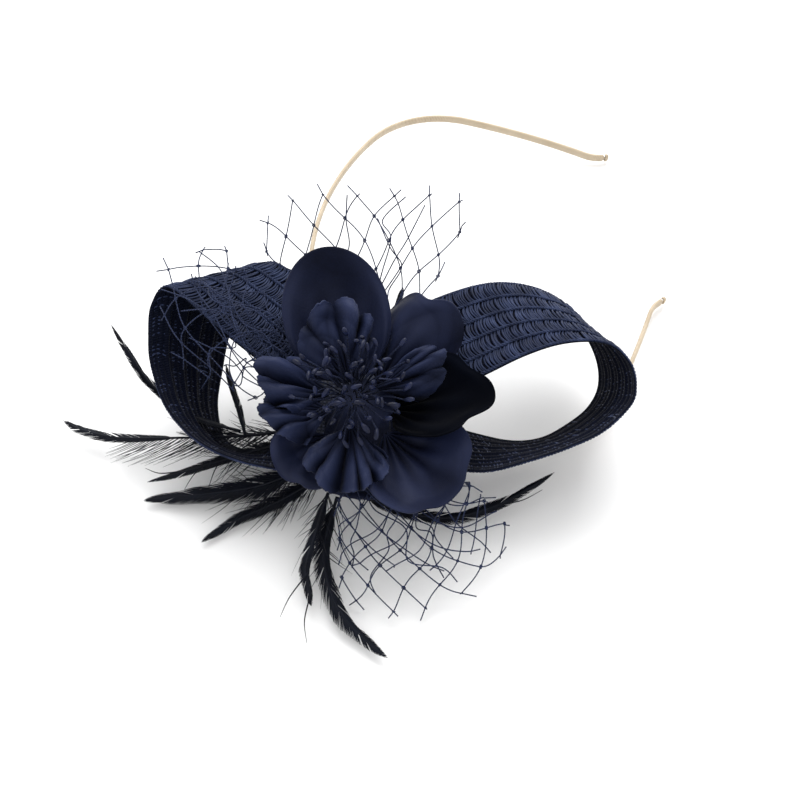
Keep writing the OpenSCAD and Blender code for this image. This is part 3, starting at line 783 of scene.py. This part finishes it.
FEATHERS = [
    dict(name="plume_left_high", node="feather_left_high", width=4.6, lean=30, splits=3,
         points=[[-55, -23, 14], [-72, -18, 16], [-86, -9, 22], [-94, 0, 29], [-100, 8, 34]]),
    dict(name="plume_left_long", node="feather_left_long", width=4.6, lean=10, blade_from=0.52, narrow_root=0.1,
         comb=((1, 0.12, 0.68, 16.0, 45), (-1, 0.1, 0.45, 9.0, 62)), down=60,
         points=[[-34, -22, 14], [-52, -24, 13], [-76, -23, 10], [-98, -21, 7], [-112, -17, 6], [-119, -13, 6]],
         spurs=([[-62, -30, 9], [-70, -35, 7], [-74, -41, 5]], [[-60, -28, 10], [-64, -35, 7], [-66, -42, 5]])),
    dict(name="plume_left_short", node="feather_left_short", width=5.2, lean=5, splits=3, down=60, narrow_root=0.45,
         points=[[-38, -28, 15], [-58, -32, 11], [-74, -35, 7], [-87, -38, 5]],
         spurs=([[-76, -35, 7], [-83, -35, 6], [-88, -33, 6]],)),
    dict(name="plume_front_long", node="feather_front_long", width=8.6, lean=0, splits=4, down=80, narrow_root=0.45,
         points=[[-31, -38, 15], [-48, -42, 9], [-68, -43, 5], [-80, -43, 3], [-88, -44, 2.5]]),
    dict(name="plume_front_low", node="feather_front_low", width=5.8, lean=0, splits=6, down=60, narrow_root=0.4,
         points=[[-27, -40, 11], [-41, -46, 6], [-54, -51, 3], [-62, -56, 2], [-67, -60, 2]]),
    dict(name="plume_in_loop", node="feather_loop", width=3.2, lean=40, splits=2,
         points=[[-53, -26, 16], [-55, -20, 22], [-57, -15, 28], [-59, -10, 35]]),
    dict(name="plume_down_long", node="feather_down_long", width=6.0, lean=0, splits=7, down=26,
         points=[[-21, -50, 15], [-25, -64, 9], [-24, -76, 6], [-19, -88, 4], [-11, -97, 3], [-4, -103, 3]]),
    dict(name="plume_down_short", node="feather_down_short", width=4.6, lean=20, splits=6, down=20,
         points=[[-24, -49, 16], [-28, -62, 11], [-31, -73, 7], [-29, -85, 4]],
         spurs=([[-30, -74, 7], [-36, -82, 5], [-39, -89, 4]], [[-29, -80, 5], [-31, -90, 4], [-30, -98, 3.5]])),
    dict(name="plume_right_long", node="feather_right_long", width=5.0, lean=0, splits=4,
         points=[[-14, -49, 15], [2, -53, 10], [17, -54, 8], [33, -50, 10], [44, -45, 13], [52, -41, 16]],
         spurs=([[33, -50, 10], [41, -49, 11], [48, -46, 13]],)),
    dict(name="plume_back", node="feather_back", width=3.6, lean=30,
         points=[[-6, -10, 38], [-4, -2, 42], [-1, 6, 45], [1, 14, 47]]),
]
for settings in FEATHERS:
    feather(**settings)


# -------- nets
NET_THREAD = 0.22
STRAY_END = 4.5


def net(name, node, root, rim, bulge, cells_wide, cells_long, seed, tangle=0, layers=1):
    """A diamond net from a root line out to a rim line, with knots, cut ends and some loose threads."""
    r = np.random.default_rng(seed)
    near, far = curve(root, 12), curve(rim, 12)
    near_run, far_run = np.linspace(0, 1, len(near)), np.linspace(0, 1, len(far))
    waves = [(r.uniform(0.5, 2.0), r.uniform(0.5, 2.0), r.uniform(0, 6), r.uniform(0, 6), unit(r.normal(0, 1, 3)))
             for _ in range(6)]

    def on_net(b, k):
        b, k = np.broadcast_arrays(np.asarray(b, float), np.asarray(k, float))
        start = sample(near, near_run, b)
        end = sample(far, far_run, b)
        ways = unit(end - start)
        ahead = unit(sample(np.gradient(far, axis=0), far_run, b) + sample(np.gradient(near, axis=0), near_run, b))
        out = unit(np.cross(ahead, ways))
        point = start + (end - start) * k[..., None] + out * (bulge * np.sin(math.pi * k))[..., None]
        for a, c, d, e, way in waves:
            point = point + way * (1.1 * np.sin(TURN * a * b + d) * np.sin(TURN * c * k + e) * smooth(
                k * 2))[..., None]
        return point

    shape = Shape()
    for layer, sign in [(i, sign) for i in range(layers) for sign in (1, -1)]:
        first = 0 if sign > 0 else -cells_long
        last = cells_wide + cells_long if sign > 0 else cells_wide
        for m in range(first, last + 1):
            k = np.linspace(0, 1, 49)
            b = (m - sign * k * cells_long + 0.5 + 0.37 * layer) / cells_wide
            keep = (b >= -0.02) & (b <= 1.02)
            if keep.sum() < 5:
                continue
            line = on_net(np.clip(b[keep], 0, 1), k[keep] ** 0.92 * (1 - 0.3 * layer)) + np.array([0, 0, 1.6 * layer])
            end = line[-1] + unit(line[-1] - line[-3]) * r.uniform(0.4, STRAY_END) + r.normal(0, 0.5, 3)
            line = np.concatenate([line, [end]])
            shape.tube(line, NET_THREAD, 5, start=r.uniform(0, 50))
    for i in range(2 * cells_wide + 1):
        for j in range(2 * cells_long + 1):
            if (i + j) % 2 == 0:
                continue
            b, k = i / 2 / cells_wide, j / 2 / cells_long
            if k < 0.12 or not 0.0 <= b <= 1.0:
                continue
            here = on_net(b, k ** 0.92)
            ahead = unit(on_net(min(b + 0.02, 1), k ** 0.92) - on_net(max(b - 0.02, 0), k ** 0.92))
            up = unit(on_net(b, min(k + 0.03, 1) ** 0.92) - here)
            half = r.uniform(0.42, 0.62)
            corners = np.array([here + ahead * half, here + up * half, here - ahead * half, here - up * half,
                                here + ahead * half])
            shape.tube(curve(corners, 3), NET_THREAD * 0.9, 5)
    for _ in range(tangle):
        b0, b1 = r.uniform(0, 1, 2)
        ks = np.linspace(r.uniform(0.0, 0.2), r.uniform(0.6, 1.0), 6)
        bs = np.linspace(b0, b1, 6)
        loose = on_net(bs, ks) + r.normal(0, 1.6, (6, 3)) + np.array([0, 0, 1.5])
        shape.tube(curve(loose, 8), NET_THREAD, 5, start=r.uniform(0, 50))
    shape.build(name, NET, "net", (node,))


net("veil_back", "net_upper",
    [[-30, -8, 38], [-24, -8, 40], [-17, -8, 41], [-10, -8, 42], [-3, -9, 42], [3, -10, 42]],
    [[-50, 33, 53], [-38, 41, 59], [-22, 42, 64], [-6, 39, 67], [10, 37, 66], [24, 38, 60]], -4, 7, 3, 31, tangle=4)
net("veil_left", "net_left", [[-36, -6, 44], [-36, -13, 42], [-35, -19, 39], [-33, -26, 32]],
    [[-62, 27, 56], [-76, 16, 56], [-80, 0, 47], [-68, -14, 34]], -3, 4, 4, 32, tangle=16)
net("veil_front", "net_lower",
    [[-20, -47, 22], [-13, -49, 23], [-4, -50, 24], [5, -50, 24], [12, -49, 24], [18, -46, 24]],
    [[-19, -82, 5], [-9, -85, 4], [3, -86, 4], [14, -84, 4], [28, -77, 7], [37, -62, 13]], -3, 5, 3, 33,
    tangle=6, layers=2)


# -------- head band
BAND_START, BAND_TURN, BAND_TILT, BAND_HEADING = np.array([74.7, 119.2, 2.9]), 193.4, 7.0, -35.0
BAND_ARCS = [(254, 11.2), (39, 64.8), (120, 58.6), (56, 132.6), (565, 4.2)]
TIP_FLARE = [(12, 26), (30, 6)]
# Half the width and half the thickness of the wrapped band, and of its turned-in ends.
BAND_HALVES, END_HALVES, END_LENGTH = (1.6, 0.8), (1.75, 0.95), 1.6
RIBBON_PITCH, RIBBON_THREAD_PITCH = 2.3, 0.58
STITCH_RADIUS, STITCH_PITCH, STITCH_HALVES = 0.26, 1.3, (3.2, 1.45)


def arc_line(arcs, step=0.25):
    """Points and headings along a run of tangent arcs."""
    x = y = a = 0.0
    out = [(x, y, a)]
    for radius, turn in arcs:
        count = max(int(radius * math.radians(abs(turn)) / step), 2)
        reach = math.copysign(radius, turn)
        for k in range(1, count + 1):
            e = a + math.radians(turn) * k / count
            out.append((x + reach * (math.sin(e) - math.sin(a)), y + reach * (math.cos(a) - math.cos(e)), e))
        x, y, a = out[-1]
    return np.array(out)


def about(axis, degrees):
    a = math.radians(degrees)
    c, s = math.cos(a), math.sin(a)
    return np.array([[c, -s, 0], [s, c, 0], [0, 0, 1]] if axis == "z" else [[c, 0, s], [0, 1, 0], [-s, 0, c]])


def round_uv(u, angle):
    return np.stack([u, np.broadcast_to(angle / TURN, u.shape)], axis=-1)


def band_section(count, high_half, thick_half):
    """Offsets up and to the side round a flat, well rounded section."""
    angle = np.arange(count) * TURN / count
    high = high_half * np.sign(np.sin(angle)) * np.abs(np.sin(angle)) ** 0.75
    thick = thick_half * np.sign(np.cos(angle)) * np.abs(np.cos(angle)) ** 0.8
    return angle, high, thick


BASE_FRAME = about("z", BAND_TURN) @ about("y", -BAND_TILT)
BAND_FRAME = BASE_FRAME @ about("z", BAND_HEADING)
flare_line = arc_line(TIP_FLARE)
arch_line = arc_line(BAND_ARCS + [(r, -t) for r, t in TIP_FLARE])


def band():
    """The ribbon wound round the band, with a step at each turn, from the far tip to the near one."""
    back = flare_line[:0:-1]
    flat = np.concatenate([np.stack([-back[:, 0], -back[:, 1], back[:, 2]], axis=1), arch_line])
    line = np.stack([flat[:, 0], flat[:, 1], np.zeros(len(flat))], axis=1)
    beside = np.stack([-np.sin(flat[:, 2]), np.cos(flat[:, 2]), np.zeros(len(flat))], axis=1)
    s = arc_length(line)
    angle, high, thick = band_section(28, *BAND_HALVES)
    turns = (s[:, None] / RIBBON_PITCH + angle[None, :] / TURN) % 1.0
    fine = np.sin(TURN * (s[:, None] / RIBBON_THREAD_PITCH + angle[None, :] / TURN))
    grow = 0.11 * turns + 0.02 * fine + 0.03 * np.sin(s[:, None] / 7 + 2 * np.cos(angle)[None, :])
    ends = np.minimum(smooth((s + 0.2) / 1.4), smooth((s[-1] + 0.2 - s) / 1.4))[:, None]
    grow = grow * ends
    ring = (beside[:, None, :] * (thick[None, :] * (1 + grow))[..., None]
            + UP * (high[None, :] * (1 + grow * 0.4))[..., None])
    points = capped(line[:, None, :] + ring * (0.35 + 0.65 * ends[..., None]), line)
    points = BAND_START + points @ BAND_FRAME.T
    u = np.concatenate([s[:1], s, s[-1:]])[:, None] + 0 * angle[None, :]
    shape = Shape()
    shape.grid(points, round_uv(u, angle), wrap=True)
    shape.build("band_ribbon", SATIN, "satin_wrap",
                ("band_wrap_far", "band_wrap_crown", "band_wrap_bend", "band_wrap_near"))


band()


def band_end(name, node, flat, side):
    """The ribbon's turned-in end, a small thimble past the end of the band."""
    x, y, heading = flat
    ahead = np.array([math.cos(heading), math.sin(heading), 0]) * side
    beside = np.array([-math.sin(heading), math.cos(heading), 0])
    angle, high, thick = band_section(28, *END_HALVES)
    rows = []
    for t in np.linspace(0, 1, 12):
        swell = math.sqrt(max(1 - max(0.0, (t - 0.35) / 0.65) ** 2, 0.0)) * (0.93 + 0.07 * smooth(t / 0.12))
        fold = 1 + 0.02 * np.sin(3 * angle + 9 * t)
        rows.append(np.array([x, y, 0]) + ahead * (0.05 + END_LENGTH * t)
                    + beside * (thick * swell * fold)[:, None] + UP * (high * swell * fold)[:, None])
    points = np.array(rows)
    first = points[:1].mean(axis=1, keepdims=True) + 0 * points[:1]
    points = BAND_START + np.concatenate([first, points]) @ BAND_FRAME.T
    u = np.linspace(0, 1.7, len(points))[:, None] + 0 * angle[None, :]
    shape = Shape()
    shape.grid(points, round_uv(u, angle), wrap=True)
    shape.build(name, SATIN, "satin_wrap", (node,))


far_x, far_y, far_heading = flare_line[-1]
band_end("band_end_far", "band_cap_far", (-far_x, -far_y, far_heading), -1)
band_end("band_end_near", "band_cap_near", arch_line[-1], 1)


def band_threads():
    """Doubled thread loops that hold the felt disc to the band."""
    shape = Shape()
    run = arc_length(np.stack([arch_line[:, 0], arch_line[:, 1], 0 * arch_line[:, 0]], axis=1))
    start = sum(radius * math.radians(turn) for radius, turn in BAND_ARCS[:3])
    radius, turn = BAND_ARCS[3]
    for step in (4, 9, 14):
        for strand in (-0.45, 0.45):
            at = start + radius * math.radians(turn * step / 45) + strand
            x, y, heading = (np.interp(at, run, arch_line[:, k]) for k in range(3))
            beside = np.array([-math.sin(heading), math.cos(heading), 0])
            ahead = np.array([math.cos(heading), math.sin(heading), 0])
            a = np.linspace(0, TURN, 49)
            line = (np.array([x, y, 1.0]) + beside * (STITCH_HALVES[1] * np.cos(a))[:, None]
                    + UP * (STITCH_HALVES[0] * np.sin(a))[:, None]
                    + ahead * (0.25 * np.sin(2 * a + step))[:, None])
            out = np.broadcast_to(ahead, line.shape)
            rope(shape, BAND_START + line @ BAND_FRAME.T, out @ BAND_FRAME.T, STITCH_RADIUS,
                 STITCH_PITCH, step)
    shape.build("band_thread", THREAD, "sewing_thread", ("band_stitches",))


band_threads()


# -------- base under the flower
BASE_MIDDLE = np.array([-13.0, -27.0])
base_rise = BAND_START[2] + ((BASE_MIDDLE[0] - BAND_START[0]) * math.cos(math.radians(BAND_TURN))
                             + (BASE_MIDDLE[1] - BAND_START[1]) * math.sin(math.radians(BAND_TURN))) * math.tan(
    math.radians(BAND_TILT))
BASE_PLACE = np.array([*BASE_MIDDLE, base_rise]) + BASE_FRAME @ np.array([0, 0, 1.65])


def turned_piece(name, node, profile, material, slot, count=120, folds=0, fold_depth=0.0, unevenness=0.12, seed=1):
    """A round piece on the base, from a profile of radius and height, with soft unevenness and folds."""
    r = np.random.default_rng(seed)
    profile = np.array(profile, float)
    angle = np.arange(count) * TURN / count
    radius = profile[:, :1] + 0 * angle[None, :]
    height = profile[:, 1:] + 0 * angle[None, :]
    share = smooth(profile[:, :1] / profile[:, 0].max())
    wobble = sum(r.uniform(0.3, 1) * np.sin(k * angle + r.uniform(0, 6)) for k in (2, 3, 5, 9, 14)) / 3
    radius = radius + share * (unevenness * wobble[None, :] + fold_depth * np.cos(folds * angle)[None, :])
    height = height + share * unevenness * 0.6 * np.roll(wobble, 17)[None, :]
    points = np.stack([radius * np.cos(angle), radius * np.sin(angle), height], axis=-1)
    shape = Shape()
    uv = np.stack([25 * angle[None, :] + 0 * radius, arc_length(profile)[:, None] + 0 * radius], axis=-1)
    shape.grid(BASE_PLACE + points @ BASE_FRAME.T, uv, wrap=True)
    shape.build(name, material, slot, (node,))


def disc_profile(radius, low, high, edge=0.3):
    steps = [0, 0.25, 0.5, 0.75, 0.9]
    under = [[radius * s, low] for s in steps] + [[radius - edge, low], [radius, low + edge]]
    over = [[radius, high - edge], [radius - edge, high]] + [[radius * s, high] for s in steps[::-1]]
    return under + over


turned_piece("base_felt_disc", "base_felt", disc_profile(25, 0.0, 1.6), FELT, "felt", seed=41)
turned_piece("base_buckram_disc", "base_buckram", disc_profile(24, 1.66, 2.42, 0.2), BUCKRAM, "buckram", seed=42,
             unevenness=0.08)
roll_angle = np.linspace(0, TURN, 21)
ROLL_MIDDLE, ROLL_RADIUS = (26.2, 0.8), 1.25
roll_profile = np.stack([ROLL_MIDDLE[0] + ROLL_RADIUS * np.cos(roll_angle),
                         ROLL_MIDDLE[1] + ROLL_RADIUS * np.sin(roll_angle)], axis=1)
turned_piece("base_binding_roll", "base_binding", roll_profile, BINDING, "binding", count=300, folds=58,
             fold_depth=0.1, seed=43)
turned_piece("flower_cup_cloth", "flower_cup",
             [[0, 2.5], [7, 2.5], [12.6, 2.5], [13.1, 3.2], [12.5, 6], [11.4, 10], [10.2, 15], [9.3, 18.4], [8.4, 19],
              [4, 18.8], [0, 18.6]], CUP, "flower_cup", count=240, folds=15, fold_depth=0.55, seed=44)

# -------- pieces kept from the CAD
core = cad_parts["band_core"]
core.data.materials.clear()
core.data.materials.append(STEEL)


# -------- floor, light and camera
# In metres unless named otherwise. The camera's place is an estimate from the photo's perspective.
FLOOR_HALF, FLOOR_GREY, FLOOR_GAP = 3.0, 0.93, 0.0001
KEY_PLACE, KEY_TARGET, KEY_SIZE, KEY_POWER = (0.1, 0.95, 1.15), (0, 0, 0.03), 1.3, 22
SKY_STRENGTH = 1.05
CAMERA_PLACE, CAMERA_TARGET = (0.0090, -0.3252, 0.4426), (0.0090, -0.0155, 0.0003)
SENSOR_WIDTH_MM, LENS_MM = 36, 67.185


def floor(height):
    mesh = bpy.data.meshes.new("floor")
    corners = [(x * FLOOR_HALF, y * FLOOR_HALF, height) for x, y in ((-1, -1), (1, -1), (1, 1), (-1, 1))]
    mesh.from_pydata(corners, [], [(0, 1, 2, 3)])
    piece = placed("floor", mesh)
    material = bpy.data.materials.new("floor_paper")
    material.use_nodes = True
    shader = material.node_tree.nodes["Principled BSDF"]
    shader.inputs["Base Color"].default_value = (FLOOR_GREY, FLOOR_GREY, FLOOR_GREY, 1)
    shader.inputs["Roughness"].default_value = 0.85
    mesh.materials.append(material)
    piece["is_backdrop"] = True


floor(min(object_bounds()[0].z, 0.0) - FLOOR_GAP)


def aimed(obj, place, target):
    obj.location = place
    obj.rotation_euler = (Vector(target) - Vector(place)).to_track_quat("-Z", "Y").to_euler()


def area_light(name, place, target, size, power):
    light = bpy.data.lights.new(name, "AREA")
    light.size = size
    light.energy = power
    lamp = placed(name, light)
    aimed(lamp, place, target)
    lamp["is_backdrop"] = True


area_light("key", KEY_PLACE, KEY_TARGET, KEY_SIZE, KEY_POWER)
world = bpy.data.worlds.new("studio")
world.use_nodes = True
sky = world.node_tree.nodes["Background"].inputs
sky["Color"].default_value = (1, 1, 1, 1)
sky["Strength"].default_value = SKY_STRENGTH
bpy.context.scene.world = world
bpy.context.scene.view_settings.view_transform = "Standard"

camera_data = bpy.data.cameras.new("camera")
camera_data.sensor_width = SENSOR_WIDTH_MM
camera_data.lens = LENS_MM
camera = placed("camera", camera_data)
aimed(camera, CAMERA_PLACE, CAMERA_TARGET)
bpy.context.scene.camera = camera
